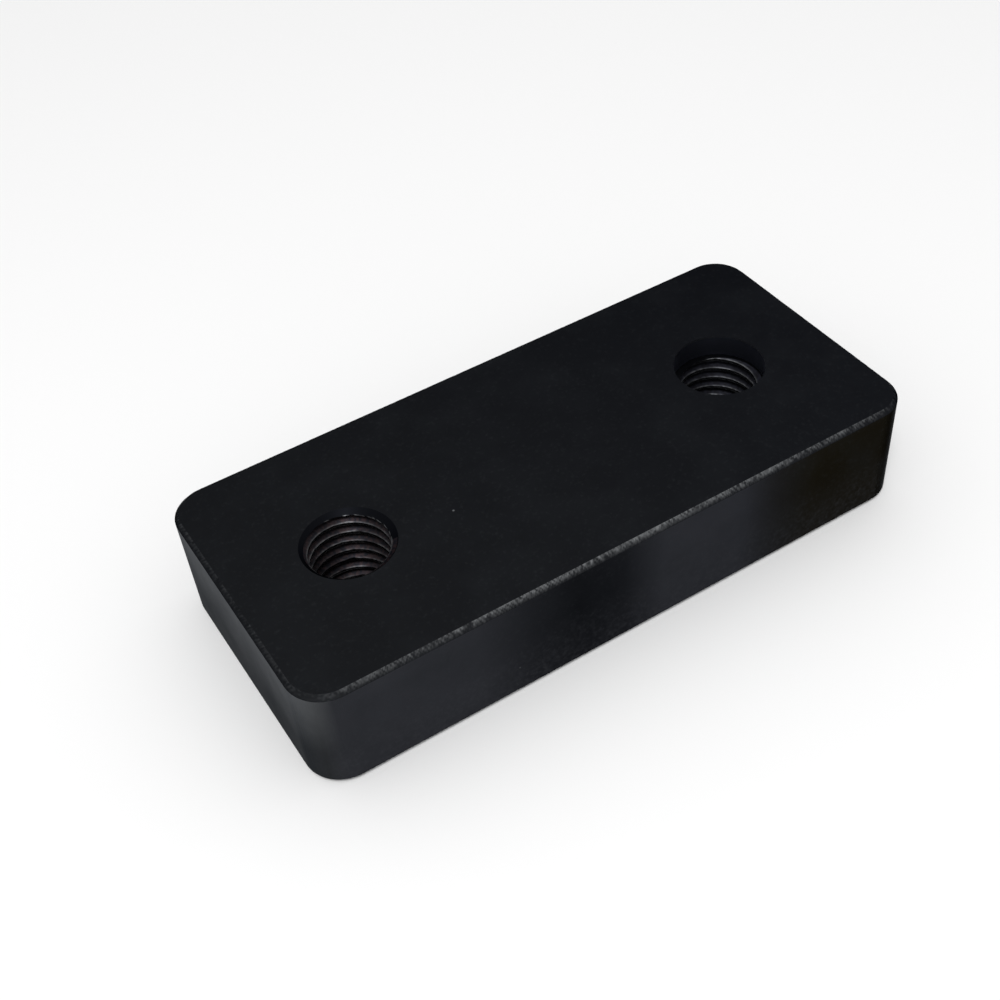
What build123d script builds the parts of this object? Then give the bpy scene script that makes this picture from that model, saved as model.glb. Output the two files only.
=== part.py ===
"""Machined steel mounting block with two tapped holes through its thickness.

One solid. The origin is at the middle of the underside, +X runs along the block,
+Y across it and +Z up out of the top face. The block is made to inch sizes, and IN
turns them to millimetres.
"""

import os

from build123d import *

os.makedirs("parts", exist_ok=True)

# bar
block_length = 5.5 * IN
block_width = 2.5 * IN
block_thickness = 1.0 * IN
corner_radius = 5 / 16 * IN  # milled vertical corners
edge_break = 1.0  # chamfer along the top and bottom outlines

# 3/4-10 tapped holes, both on the long centre line
hole_spacing = 3.5 * IN
thread_diameter = 3 / 4 * IN
threads_per_inch = 10
mouth_clearance = 0.1  # countersink and counterbore over the thread, on the radius
counterbore_depth = 3 / 16 * IN  # plain entry above the thread of the right-hand hole

# the crests stand 5/8 of the sharp triangle's height in from the thread's roots
thread_pitch = IN / threads_per_inch
thread_depth = 5 / 8 * thread_pitch * 3**0.5 / 2
bore_radius = thread_diameter / 2 - thread_depth
mouth_radius = thread_diameter / 2 + mouth_clearance
countersink_angle = 90

with BuildPart() as mounting_block:
    with BuildSketch():
        RectangleRounded(block_length, block_width, corner_radius)
    extrude(amount=block_thickness)

    top_face = mounting_block.faces().sort_by(Axis.Z)[-1]
    bottom_face = mounting_block.faces().sort_by(Axis.Z)[0]
    chamfer(top_face.edges() + bottom_face.edges(), edge_break)

    # left-hand hole, countersunk to the top face
    with Locations((-hole_spacing / 2, 0, block_thickness)):
        CounterSinkHole(bore_radius, mouth_radius, counter_sink_angle=countersink_angle)

    # right-hand hole, with a plain entry below the top face
    with Locations((hole_spacing / 2, 0, block_thickness)):
        CounterBoreHole(bore_radius, mouth_radius, counterbore_depth)

    # both countersunk on the underside as well
    with Locations(Plane(origin=(0, 0, 0), z_dir=(0, 0, -1))):
        with GridLocations(hole_spacing, 0, 2, 1):
            CounterSinkHole(bore_radius, mouth_radius, counter_sink_angle=countersink_angle)

mounting_block.part.label = "mounting_block"
export_step(mounting_block.part, "parts/mounting_block.step")
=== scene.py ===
from math import ceil, cos, hypot, radians, sin, sqrt, tan, tau

import bmesh
import bpy
from mathutils import Matrix, Vector, noise


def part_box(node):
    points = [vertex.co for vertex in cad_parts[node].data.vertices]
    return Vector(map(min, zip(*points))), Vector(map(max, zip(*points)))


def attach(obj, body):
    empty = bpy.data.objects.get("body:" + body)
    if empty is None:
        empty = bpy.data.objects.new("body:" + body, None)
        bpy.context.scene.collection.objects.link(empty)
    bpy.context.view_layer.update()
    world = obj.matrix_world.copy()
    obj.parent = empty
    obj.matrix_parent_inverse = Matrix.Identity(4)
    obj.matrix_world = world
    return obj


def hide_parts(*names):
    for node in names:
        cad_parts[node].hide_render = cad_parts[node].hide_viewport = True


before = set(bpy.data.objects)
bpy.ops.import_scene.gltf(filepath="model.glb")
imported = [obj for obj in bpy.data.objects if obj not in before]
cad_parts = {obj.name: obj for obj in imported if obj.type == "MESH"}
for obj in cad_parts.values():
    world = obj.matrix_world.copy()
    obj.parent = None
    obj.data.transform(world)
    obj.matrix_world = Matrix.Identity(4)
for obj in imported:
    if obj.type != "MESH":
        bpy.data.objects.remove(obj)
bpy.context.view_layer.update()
mm = 0.001
inch = 25.4 * mm


def linearColor(hexCode):
    channels = [int(hexCode[i:i + 2], 16) / 255 for i in (1, 3, 5)]
    return [c / 12.92 if c <= 0.04045 else ((c + 0.055) / 1.055) ** 2.4 for c in channels] + [1]


def addNode(tree, kind, settings=None, inputs=None):
    node = tree.nodes.new(kind)
    for name, value in (settings or {}).items():
        setattr(node, name, value)
    for name, value in (inputs or {}).items():
        if isinstance(value, bpy.types.NodeSocket):
            tree.links.new(value, node.inputs[name])
        else:
            node.inputs[name].default_value = value
    return node


def newMaterial(name):
    material = bpy.data.materials.new(name)
    material.use_nodes = True
    material.node_tree.nodes.clear()
    return material, material.node_tree


def meshObject(name, bm, material):
    mesh = bpy.data.meshes.new(name)
    bm.to_mesh(mesh)
    bm.free()
    mesh.materials.append(material)
    obj = bpy.data.objects.new(name, mesh)
    bpy.context.collection.objects.link(obj)
    return obj


def clamp(value, low, high):
    return max(low, min(high, value))


low, high = [Vector(corner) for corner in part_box("mounting_block")]
block = {
    "length": high.x - low.x,
    "width": high.y - low.y,
    "thickness": high.z - low.z,
    "cornerRadius": 5 / 16 * inch,
    "edgeBreak": 1 * mm,
    "holeSpacing": 3.5 * inch,
}
thread = {
    "majorRadius": 3 / 8 * inch,
    "pitch": inch / 10,
    "stepsPerTurn": 96,
    "pointsPerPitch": 24,
    "mouthSlope": tan(radians(60)),  # half of the 120 degree countersink
    "nick": 0.5 * mm,
    "crestBare": 0.62,  # share of the oxide gone from the first crest
    "barePerTurn": 0.09,  # and how much less of it goes with each turn down
    "softness": 0.09 * mm,  # how far the crest and root corners are rounded
}
thread["depth"] = 5 / 8 * thread["pitch"] * sqrt(3) / 2
thread["crestRadius"] = thread["majorRadius"] - thread["depth"]
leftHole = {
    "x": -block["holeSpacing"] / 2,
    "mouthRadius": thread["majorRadius"] + 0.1 * mm,  # countersunk to just past the thread's roots
    "phase": 0.393,
}
rightHole = {
    "x": block["holeSpacing"] / 2,
    "mouthRadius": thread["majorRadius"] + 0.1 * mm,  # plain counterbore
    "counterbore": 3 / 16 * inch,
    "phase": 0.20,
    # the band at the counterbore rim drawn as bare steel: a painted highlight
    "rimHighlightBand": 0.3 * mm,
}


def outwardDirection(x, y):
    dx = abs(x) - (block["length"] / 2 - block["cornerRadius"])
    dy = abs(y) - (block["width"] / 2 - block["cornerRadius"])
    if dx > 0 and dy > 0:
        reach = hypot(dx, dy)
        return Vector((dx / reach * (1 if x > 0 else -1), dy / reach * (1 if y > 0 else -1), 0))
    if dx > dy:
        return Vector((1 if x > 0 else -1, 0, 0))
    return Vector((0, 1 if y > 0 else -1, 0))


# how far the edge cutter left the steel proud or low, and how bare it is rubbed there
def chatter(point, edge):
    along = point.x + point.y * 0.9
    wander = noise.noise(Vector((along / edge["wander"], point.z * 40, 3.1)))
    swell = 0.55 + 0.75 * noise.noise(Vector((along / edge["swell"], 9.0, 1.7)))
    marks = sin(along / edge["pitch"] * tau + wander * 9)
    grain = noise.noise(Vector((along / edge["grain"], point.z / edge["grain"], 5.5)))
    rub = noise.noise(Vector((along / edge["rub"], 4.4, 8.2)))
    bareAndRimHighlight = clamp(edge["bareAndRimHighlight"] + 0.45 * rub + 0.42 * marks * clamp(swell, 0.2, 1) + 0.9 * grain, 0.04, 1)
    return edge["depth"] * clamp(swell, 0.1, 1.3) * marks + edge["roughness"] * grain, bareAndRimHighlight


def bodyShell(bm):
    edge = {
        "step": 0.15 * mm,
        "pitch": 0.7 * mm,  # drawn a little coarser than the cutter left it
        "depth": 0.022 * mm,
        "wander": 3 * mm,
        "swell": 9 * mm,
        "grain": 0.35 * mm,
        "roughness": 0.05 * mm,
        "rub": 16 * mm,
        "bareAndRimHighlight": 0.38,  # share of the oxide gone from the edge, on average
    }
    size = Vector((block["length"], block["width"], block["thickness"]))
    stand = Matrix.Translation((0, 0, size.z / 2))
    bmesh.ops.create_cube(bm, size=1, matrix=stand @ Matrix.Diagonal((*size, 1)))
    upright = [e for e in bm.edges if abs(e.verts[0].co.z - e.verts[1].co.z) > size.z / 2]
    bmesh.ops.bevel(bm, geom=upright, offset=block["cornerRadius"], segments=16, profile=0.5,
                    affect="EDGES", material=-1)
    for level in (0, size.z):
        rim = [e for e in bm.edges if all(abs(v.co.z - level) < 1e-6 for v in e.verts)]
        bmesh.ops.bevel(bm, geom=rim, offset=block["edgeBreak"], segments=1, profile=0.5,
                        affect="EDGES", material=-1)
    flats = [f for f in bm.faces if abs(f.normal.z) > 0.99]
    bmesh.ops.delete(bm, geom=flats, context="FACES_ONLY")
    # the edge break is cut fine enough to carry the cutter's marks
    slopes = [f for f in bm.faces if 0.3 < abs(f.normal.z) < 0.95]
    lengths = {}
    for f in slopes:
        level = [e for e in f.edges if abs(e.verts[0].co.z - e.verts[1].co.z) < 1e-6]
        cuts = max(ceil(max(e.calc_length() for e in level) / edge["step"]) - 1, 1)
        lengths.setdefault(cuts, set()).update(level)
    for cuts, edges in lengths.items():
        bmesh.ops.subdivide_edges(bm, edges=list(edges), cuts=cuts, use_grid_fill=True)
    slopes = [f for f in bm.faces if 0.3 < abs(f.normal.z) < 0.95]
    across = {e for f in slopes for e in f.edges if abs(e.verts[0].co.z - e.verts[1].co.z) > 0.3 * mm}
    bmesh.ops.subdivide_edges(bm, edges=list(across), cuts=3, use_grid_fill=True)
    bm.normal_update()
    bareAndRimHighlightLayer = bm.verts.layers.float.new("bareAndRimHighlight")
    wornLayer = bm.faces.layers.float.new("worn")
    slopes = [f for f in bm.faces if 0.3 < abs(f.normal.z) < 0.95]
    for f in slopes:
        f[wornLayer] = 1
    for v in {v for f in slopes for v in f.verts}:
        push = outwardDirection(v.co.x, v.co.y)
        up = 1 if v.co.z > size.z / 2 else -1
        onTop = abs(v.co.z - (size.z if up > 0 else 0)) < 1e-6
        onSide = abs(abs(v.co.z - (size.z if up > 0 else 0)) - block["edgeBreak"]) < 1e-6
        amount, bareAndRimHighlight = chatter(v.co, edge)
        # the long edges are rubbed most in the middle, and the ends and corners stayed dark
        middle = 1 - 0.55 * abs(v.co.x / (size.x / 2)) ** 2
        # and the wear dies out from the outer arris down to the side
        drop = abs(v.co.z - (size.z if up > 0 else 0)) / block["edgeBreak"]
        v[bareAndRimHighlightLayer] = bareAndRimHighlight * (0.2 if abs(push.x) > 0.05 else middle) * clamp(1.35 - 1.5 * drop, 0, 1.2)
        if onTop:
            v.co += push * amount
        elif onSide:
            v.co.z += up * amount
        else:
            v.co += (push + Vector((0, 0, up))) / sqrt(2) * amount


# radius of the wall at a height within one pitch, the crest at 0
def threadRadius(along):
    def sharp(t):
        fold = abs((t / thread["pitch"] + 0.5) % 1 - 0.5) * thread["pitch"]  # 0 at the crest
        rise = (fold - thread["pitch"] / 8) / (thread["pitch"] * 5 / 16)
        return clamp(rise, 0, 1)
    samples = [sharp(along + thread["softness"] * k / 4) for k in range(-4, 5)]
    return thread["crestRadius"] + thread["depth"] * sum(samples) / len(samples)


# a helical wall from the underside up to the mouth, open at both ends
def tappedWall(hole, floor, mouth):
    bm = bmesh.new()
    pitch = thread["pitch"]
    start = -pitch * (1 + hole["phase"])
    turns = ceil((mouth - start) / pitch) + 1
    count = thread["pointsPerPitch"]
    section = [bm.verts.new((threadRadius(pitch * i / count), 0, start + pitch * i / count))
               for i in range(count + 1)]
    lines = [bm.edges.new(pair) for pair in zip(section, section[1:])]
    steps = thread["stepsPerTurn"]
    bmesh.ops.spin(bm, geom=section + lines, cent=(0, 0, 0), axis=(0, 0, 1),
                   dvec=(0, 0, pitch / steps), angle=tau * turns, steps=steps * turns)
    bmesh.ops.remove_doubles(bm, verts=bm.verts, dist=0.004 * mm)
    everything = list(bm.verts) + list(bm.edges) + list(bm.faces)
    bmesh.ops.bisect_plane(bm, geom=everything, dist=1e-7, plane_co=(0, 0, mouth), plane_no=(0, 0, 1),
                           clear_outer=True)
    everything = list(bm.verts) + list(bm.edges) + list(bm.faces)
    bmesh.ops.bisect_plane(bm, geom=everything, dist=1e-7, plane_co=(0, 0, floor), plane_no=(0, 0, 1),
                           clear_inner=True)
    return bm


# the crests are polished by bolts, most of all near the mouth, and nicked here and there
def wearCrests(bm, mouth):
    bareAndRimHighlightLayer = bm.verts.layers.float.new("bareAndRimHighlight")
    bm.faces.layers.float.new("mouth")
    for name in ("worn", "bore"):
        layer = bm.faces.layers.float.new(name)
        for f in bm.faces:
            f[layer] = 1
    for v in bm.verts:
        around = hypot(v.co.x, v.co.y)
        inset = (around - thread["crestRadius"]) / thread["depth"]
        deep = (mouth - v.co.z) / thread["pitch"]
        patch = noise.noise(Vector((v.co.x, v.co.y, v.co.z * 2)) / (3 * mm))
        grit = noise.noise(v.co / (0.5 * mm))
        rubbedAndRimHighlight = thread["crestBare"] - deep * thread["barePerTurn"] + 0.5 * patch + 0.4 * grit
        v[bareAndRimHighlightLayer] = clamp(1 - inset * 5, 0, 1) * clamp(rubbedAndRimHighlight, 0.05, 1)
        if inset < 0.3:
            nick = clamp(noise.noise(v.co / (0.9 * mm)) - 0.35, 0, 1) * thread["nick"]
            v.co.x *= 1 + nick / around
            v.co.y *= 1 + nick / around


# a countersink, cut by moving out what stands inside its cone
def openMouth(bm, radius, level):
    bareAndRimHighlightLayer = bm.verts.layers.float["bareAndRimHighlight"]
    pushed = set()
    for v in bm.verts:
        cone = radius - abs(level - v.co.z) * thread["mouthSlope"]
        around = hypot(v.co.x, v.co.y)
        if around < cone:
            v[bareAndRimHighlightLayer] = 0
            pushed.add(v)
            v.co.x *= cone / around
            v.co.y *= cone / around
    for f in bm.faces:
        if not pushed.isdisjoint(f.verts):
            f[bm.faces.layers.float["bore"]] = 0
            f[bm.faces.layers.float["mouth"]] = 1


def joinInto(bm, other, x):
    mesh = bpy.data.meshes.new("scratch")
    bmesh.ops.translate(other, verts=other.verts, vec=(x, 0, 0))
    other.to_mesh(mesh)
    other.free()
    bm.from_mesh(mesh)
    bpy.data.meshes.remove(mesh)


def boundaryAt(bm, level):
    return [e for e in bm.edges if e.is_boundary and all(abs(v.co.z - level) < 1e-6 for v in e.verts)]


def mountingBlock(material):
    top = block["thickness"]
    bm = bmesh.new()
    bodyShell(bm)
    print("shell", len(bm.verts))
    left = tappedWall(leftHole, 0, top)
    wearCrests(left, top)
    openMouth(left, leftHole["mouthRadius"], top)
    openMouth(left, leftHole["mouthRadius"], 0)
    joinInto(bm, left, leftHole["x"])
    shelf = top - rightHole["counterbore"]
    right = tappedWall(rightHole, 0, shelf)
    wearCrests(right, shelf)
    openMouth(right, rightHole["mouthRadius"], 0)
    # plain wall of the counterbore, with its own shelf round the thread
    inner = boundaryAt(right, shelf)
    ring = bmesh.ops.create_circle(right, segments=192, radius=rightHole["mouthRadius"],
                                   matrix=Matrix.Translation((0, 0, shelf)))
    outer = list({e for v in ring["verts"] for e in v.link_edges})
    bmesh.ops.triangle_fill(right, edges=inner + outer, use_beauty=True)
    # the plain wall is drawn a lighter blue-grey, a painted reflection, up to a band at the rim drawn as
    # bare steel, a painted highlight
    bareAndRimHighlightLayer = right.verts.layers.float["bareAndRimHighlight"]
    right.faces.layers.float.new("entry")
    for rise, bareAndRimHighlight in ((rightHole["counterbore"] - rightHole["rimHighlightBand"], 0), (rightHole["rimHighlightBand"], 1)):
        wall = bmesh.ops.extrude_edge_only(right, edges=outer)["geom"]
        outer = [item for item in wall if isinstance(item, bmesh.types.BMEdge)]
        ring = [item for item in wall if isinstance(item, bmesh.types.BMVert)]
        bmesh.ops.translate(right, verts=ring, vec=(0, 0, rise))
        for v in ring:
            rubbedAndRimHighlight = 0.5 + noise.noise(v.co / (4 * mm))
            v[bareAndRimHighlightLayer] = bareAndRimHighlight * clamp(rubbedAndRimHighlight, 0.1, 1)
        for f in [item for item in wall if isinstance(item, bmesh.types.BMFace)]:
            f[right.faces.layers.float["worn"]] = 1
            f[right.faces.layers.float["bore"]] = 0
            f[right.faces.layers.float["entry"]] = 1
    joinInto(bm, right, rightHole["x"])
    print("walls", len(bm.verts))
    for level in (0, top):
        flat = bmesh.ops.triangle_fill(bm, edges=boundaryAt(bm, level), use_beauty=True)["geom"]
        for f in flat:
            if isinstance(f, bmesh.types.BMFace):
                for name in ("worn", "bore", "mouth", "entry"):
                    f[bm.faces.layers.float[name]] = 0
    bmesh.ops.recalc_face_normals(bm, faces=bm.faces)
    print("open edges left:", sum(e.is_boundary for e in bm.edges), "faces", len(bm.faces))
    obj = meshObject("mountingBlock", bm, material)
    obj.data.shade_smooth()
    obj.data.set_sharp_from_angle(angle=radians(28))
    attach(obj, "root")
    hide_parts("mounting_block")
    return obj


def mixColor(tree, factor, first, second):
    mix = addNode(tree, "ShaderNodeMix", {"data_type": "RGBA"}, {0: factor, 6: first, 7: second})
    return mix.outputs[2]


def ramp(tree, value, stops):
    node = addNode(tree, "ShaderNodeValToRGB", inputs={"Fac": value})
    elements = node.color_ramp.elements
    while len(elements) < len(stops):
        elements.new(0.5)
    for element, (place, level) in zip(elements, stops):
        element.position = place
        element.color = (level, level, level, 1)
    return node.outputs["Color"]


def blackOxideSteel():
    # hot black oxide on milled steel: a thin dark skin that keeps a dull metal sheen,
    # cloudy on the sides, rubbed through to grey steel on the edges and thread crests
    material, tree = newMaterial("Black oxide steel, hot bath")
    where = addNode(tree, "ShaderNodeTexCoord").outputs["Object"]
    axes = addNode(tree, "ShaderNodeSeparateXYZ", inputs={"Vector": where}).outputs
    bareAndRimHighlight = addNode(tree, "ShaderNodeAttribute", {"attribute_name": "bareAndRimHighlight"}).outputs["Fac"]
    worn = addNode(tree, "ShaderNodeAttribute", {"attribute_name": "worn"}).outputs["Fac"]
    bareAndRimHighlight = addNode(tree, "ShaderNodeMath", {"operation": "MULTIPLY"}, {0: bareAndRimHighlight, 1: worn}).outputs[0]
    bore = addNode(tree, "ShaderNodeAttribute", {"attribute_name": "bore"}).outputs["Fac"]
    mouth = addNode(tree, "ShaderNodeAttribute", {"attribute_name": "mouth"}).outputs["Fac"]
    entry = addNode(tree, "ShaderNodeAttribute", {"attribute_name": "entry"}).outputs["Fac"]
    cloud = addNode(tree, "ShaderNodeTexNoise", inputs={"Vector": where, "Scale": 70, "Detail": 5,
                                                        "Roughness": 0.6}).outputs["Fac"]
    grain = addNode(tree, "ShaderNodeTexNoise", inputs={"Vector": where, "Scale": 1400,
                                                        "Detail": 3}).outputs["Fac"]
    # the skin is drawn a little darker toward the right of the block
    run = addNode(tree, "ShaderNodeMapRange", inputs={
        "Value": axes["X"], "From Min": low.x, "From Max": high.x}).outputs["Result"]
    skin = mixColor(tree, run, linearColor("#1B1C1E"), linearColor("#191A1D"))
    # painted reflection: the long sides are drawn in lighter bands along their length
    reflectionBands = ramp(tree, run, [(0.0, 0.85), (0.094, 1.0), (0.246, 0.92), (0.334, 0.3), (0.407, 0.0),
                              (0.482, 0.15), (0.55, 1.0), (0.674, 1), (0.747, 0.5), (0.822, 0.05)])
    below = addNode(tree, "ShaderNodeMath", {"operation": "LESS_THAN"},
                    {0: axes["Z"], 1: block["thickness"] - block["edgeBreak"] - 0.02 * mm}).outputs[0]
    across = addNode(tree, "ShaderNodeMath", {"operation": "ABSOLUTE"}, {0: axes["Y"]}).outputs[0]
    side = addNode(tree, "ShaderNodeMapRange", inputs={
        "Value": across, "From Min": 0.93 * high.y, "From Max": 0.99 * high.y}).outputs["Result"]
    side = addNode(tree, "ShaderNodeMath", {"operation": "MULTIPLY"}, {0: side, 1: below}).outputs[0]
    reflectionBands = addNode(tree, "ShaderNodeMath", {"operation": "MULTIPLY"}, {0: reflectionBands, 1: side}).outputs[0]
    skin = mixColor(tree, reflectionBands, skin, linearColor("#343539"))
    rusty = addNode(tree, "ShaderNodeMath", {"operation": "MULTIPLY"},
                    {0: side, 1: ramp(tree, run, [(0.692, 0.0), (0.812, 0.8), (0.947, 0.8)])}).outputs[0]
    skin = mixColor(tree, rusty, skin, linearColor("#232018"))
    # painted highlight: the left end is drawn lighter from the corner round, brightest toward the top edge
    leftEndHighlight = addNode(tree, "ShaderNodeMapRange", inputs={
        "Value": axes["X"], "From Min": 0.92 * low.x, "From Max": 0.995 * low.x}).outputs["Result"]
    upper = addNode(tree, "ShaderNodeMapRange", inputs={
        "Value": axes["Z"], "From Min": 0.35 * block["thickness"], "From Max": 0.95 * block["thickness"],
        "To Min": 0.35, "To Max": 1.0}).outputs["Result"]
    leftEndHighlight = addNode(tree, "ShaderNodeMath", {"operation": "MULTIPLY"}, {0: leftEndHighlight, 1: below}).outputs[0]
    leftEndHighlight = addNode(tree, "ShaderNodeMath", {"operation": "MULTIPLY"}, {0: leftEndHighlight, 1: upper}).outputs[0]
    skin = mixColor(tree, leftEndHighlight, skin, linearColor("#636567"))
    # grainy lighter patches are drawn along the foot of the long sides
    foot = addNode(tree, "ShaderNodeMapRange", inputs={
        "Value": axes["Z"], "From Min": 0.6 * block["thickness"], "From Max": 0}).outputs["Result"]
    foot = addNode(tree, "ShaderNodeMath", {"operation": "MULTIPLY"}, {0: foot, 1: side}).outputs[0]
    footSpeckle = addNode(tree, "ShaderNodeMath", {"operation": "MULTIPLY"},
                    {0: foot, 1: ramp(tree, grain, [(0.4, 0.12), (0.75, 0.4)])}).outputs[0]
    skin = mixColor(tree, footSpeckle, skin, linearColor("#4A4B4F"))
    mottled = mixColor(tree, ramp(tree, cloud, [(0.42, 0.0), (0.7, 0.3)]), skin, linearColor("#26282B"))
    gritty = mixColor(tree, ramp(tree, grain, [(0.56, 0.0), (0.76, 0.1)]), mottled, linearColor("#45484A"))
    # cutting oil has browned the inside of the left-hand hole
    film = mixColor(tree, ramp(tree, run, [(0.4, 0.0), (0.6, 1.0)]), linearColor("#2E2627"),
                    linearColor("#25262D"))
    oiled = mixColor(tree, ramp(tree, grain, [(0.4, 0.0), (0.62, 0.8)]), linearColor("#1B1B1F"), film)
    skin = mixColor(tree, bore, gritty, oiled)
    # painted shade: the countersunk mouths are drawn darker than the skin
    skin = mixColor(tree, mouth, skin, linearColor("#0E0F12"))
    # painted reflection: the counterbore wall is drawn a lighter blue-grey than the skin
    skin = mixColor(tree, entry, skin, linearColor("#41444F"))
    # sparse pinpricks where the oxide flaked
    cells = addNode(tree, "ShaderNodeTexVoronoi", inputs={"Vector": where, "Scale": 75}).outputs["Distance"]
    flaked = ramp(tree, cells, [(0.012, 0.7), (0.022, 0.0)])
    skin = mixColor(tree, flaked, skin, linearColor("#6E7072"))
    # bare steel on the rubbed edges and thread crests, and a painted highlight on the counterbore rim
    rubbedAndRimHighlight = addNode(tree, "ShaderNodeMath", {"operation": "MULTIPLY", "use_clamp": True},
                     {0: bareAndRimHighlight, 1: ramp(tree, grain, [(0.34, 0.55), (0.6, 1.0)])}).outputs[0]
    color = mixColor(tree, rubbedAndRimHighlight, skin, linearColor("#747678"))
    rough = addNode(tree, "ShaderNodeMapRange", inputs={"Value": cloud, "From Min": 0.3, "From Max": 0.7,
                                                        "To Min": 0.4, "To Max": 0.52}).outputs["Result"]
    # bare steel is smoother than the skin round it
    rough = addNode(tree, "ShaderNodeMath", {"operation": "MULTIPLY_ADD"},
                    {0: rubbedAndRimHighlight, 1: -0.22, 2: rough}).outputs[0]
    bump = addNode(tree, "ShaderNodeBump", inputs={"Strength": 0.25, "Distance": 0.02 * mm,
                                                   "Height": grain})
    shader = addNode(tree, "ShaderNodeBsdfPrincipled", inputs={
        "Base Color": color, "Metallic": 1.0, "Roughness": rough, "Specular Tint": linearColor("#9A9B9D"),
        "Normal": bump.outputs["Normal"]})
    addNode(tree, "ShaderNodeOutputMaterial", inputs={"Surface": shader.outputs["BSDF"]})
    return material


def floorPaper():
    # matt white sweep paper
    material, tree = newMaterial("Matt white paper")
    shader = addNode(tree, "ShaderNodeBsdfPrincipled", inputs={
        "Base Color": linearColor("#F4F4F4"), "Roughness": 0.9, "Specular IOR Level": 0.2})
    addNode(tree, "ShaderNodeOutputMaterial", inputs={"Surface": shader.outputs["BSDF"]})
    return material


mountingBlock(blackOxideSteel())
print("block made")


def paleFloor():
    bm = bmesh.new()
    # a hair under the block, so that the two faces don't lie in one plane
    bmesh.ops.create_grid(bm, x_segments=1, y_segments=1, size=2.0,
                          matrix=Matrix.Translation((0, 0, -0.05 * mm)))
    floor = meshObject("floor", bm, floorPaper())


def studioLight():
    world = bpy.data.worlds.new("studio")
    world.use_nodes = True
    world.node_tree.nodes.clear()
    tree = world.node_tree
    rays = addNode(tree, "ShaderNodeLightPath")
    seen = addNode(tree, "ShaderNodeMath", {"operation": "MAXIMUM"},
                   {0: rays.outputs["Is Camera Ray"], 1: rays.outputs["Is Glossy Ray"]})
    seen = addNode(tree, "ShaderNodeMath", {"operation": "MAXIMUM"},
                   {0: seen.outputs[0], 1: rays.outputs["Is Transmission Ray"]})
    strength = addNode(tree, "ShaderNodeMapRange", inputs={"Value": seen.outputs[0],
                                                           "To Min": 0.8, "To Max": 1.0})
    glow = addNode(tree, "ShaderNodeBackground", inputs={"Color": (1, 1, 1, 1),
                                                         "Strength": strength.outputs["Result"]})
    addNode(tree, "ShaderNodeOutputWorld", inputs={"Surface": glow.outputs["Background"]})
    bpy.context.scene.world = world


def areaLamp(name, azimuth, elevation, distance, size, power):
    light = bpy.data.lights.new(name, "AREA")
    light.shape = "DISK"
    light.size = size
    light.energy = power
    lamp = bpy.data.objects.new(name, light)
    a, e = radians(azimuth), radians(elevation)
    away = Vector((sin(a) * cos(e), -cos(a) * cos(e), sin(e)))
    lamp.location = away * distance
    lamp.rotation_euler = away.to_track_quat("Z", "Y").to_euler()
    bpy.context.collection.objects.link(lamp)


def studioCamera():
    view = {"azimuth": -28.8, "elevation": 46.5, "roll": 5.0, "distance": 284.9 * mm,
            "aim": Vector((-13.7, -11.4, 12.7)) * mm, "focalShare": 1.428}
    a, e, r = radians(view["azimuth"]), radians(view["elevation"]), radians(view["roll"])
    back = Vector((sin(a) * cos(e), -cos(a) * cos(e), sin(e)))
    level = Vector((cos(a), sin(a), 0))
    lift = back.cross(level)
    right = level * cos(r) - lift * sin(r)
    up = back.cross(right)
    camera = bpy.data.objects.new("camera", bpy.data.cameras.new("camera"))
    camera.matrix_world = Matrix.Translation(view["aim"] + back * view["distance"]) @ Matrix(
        (right, up, back)).transposed().to_4x4()
    camera.data.lens = view["focalShare"] * camera.data.sensor_width
    camera.data.shift_x = -0.02
    camera.data.shift_y = 0.055
    camera.data.clip_start = 0.01
    bpy.context.collection.objects.link(camera)
    bpy.context.scene.camera = camera


paleFloor()
studioLight()
areaLamp("key", azimuth=-35, elevation=62, distance=0.9, size=0.25, power=3)
studioCamera()
bpy.context.scene.view_settings.view_transform = "Standard"
print("stage set")
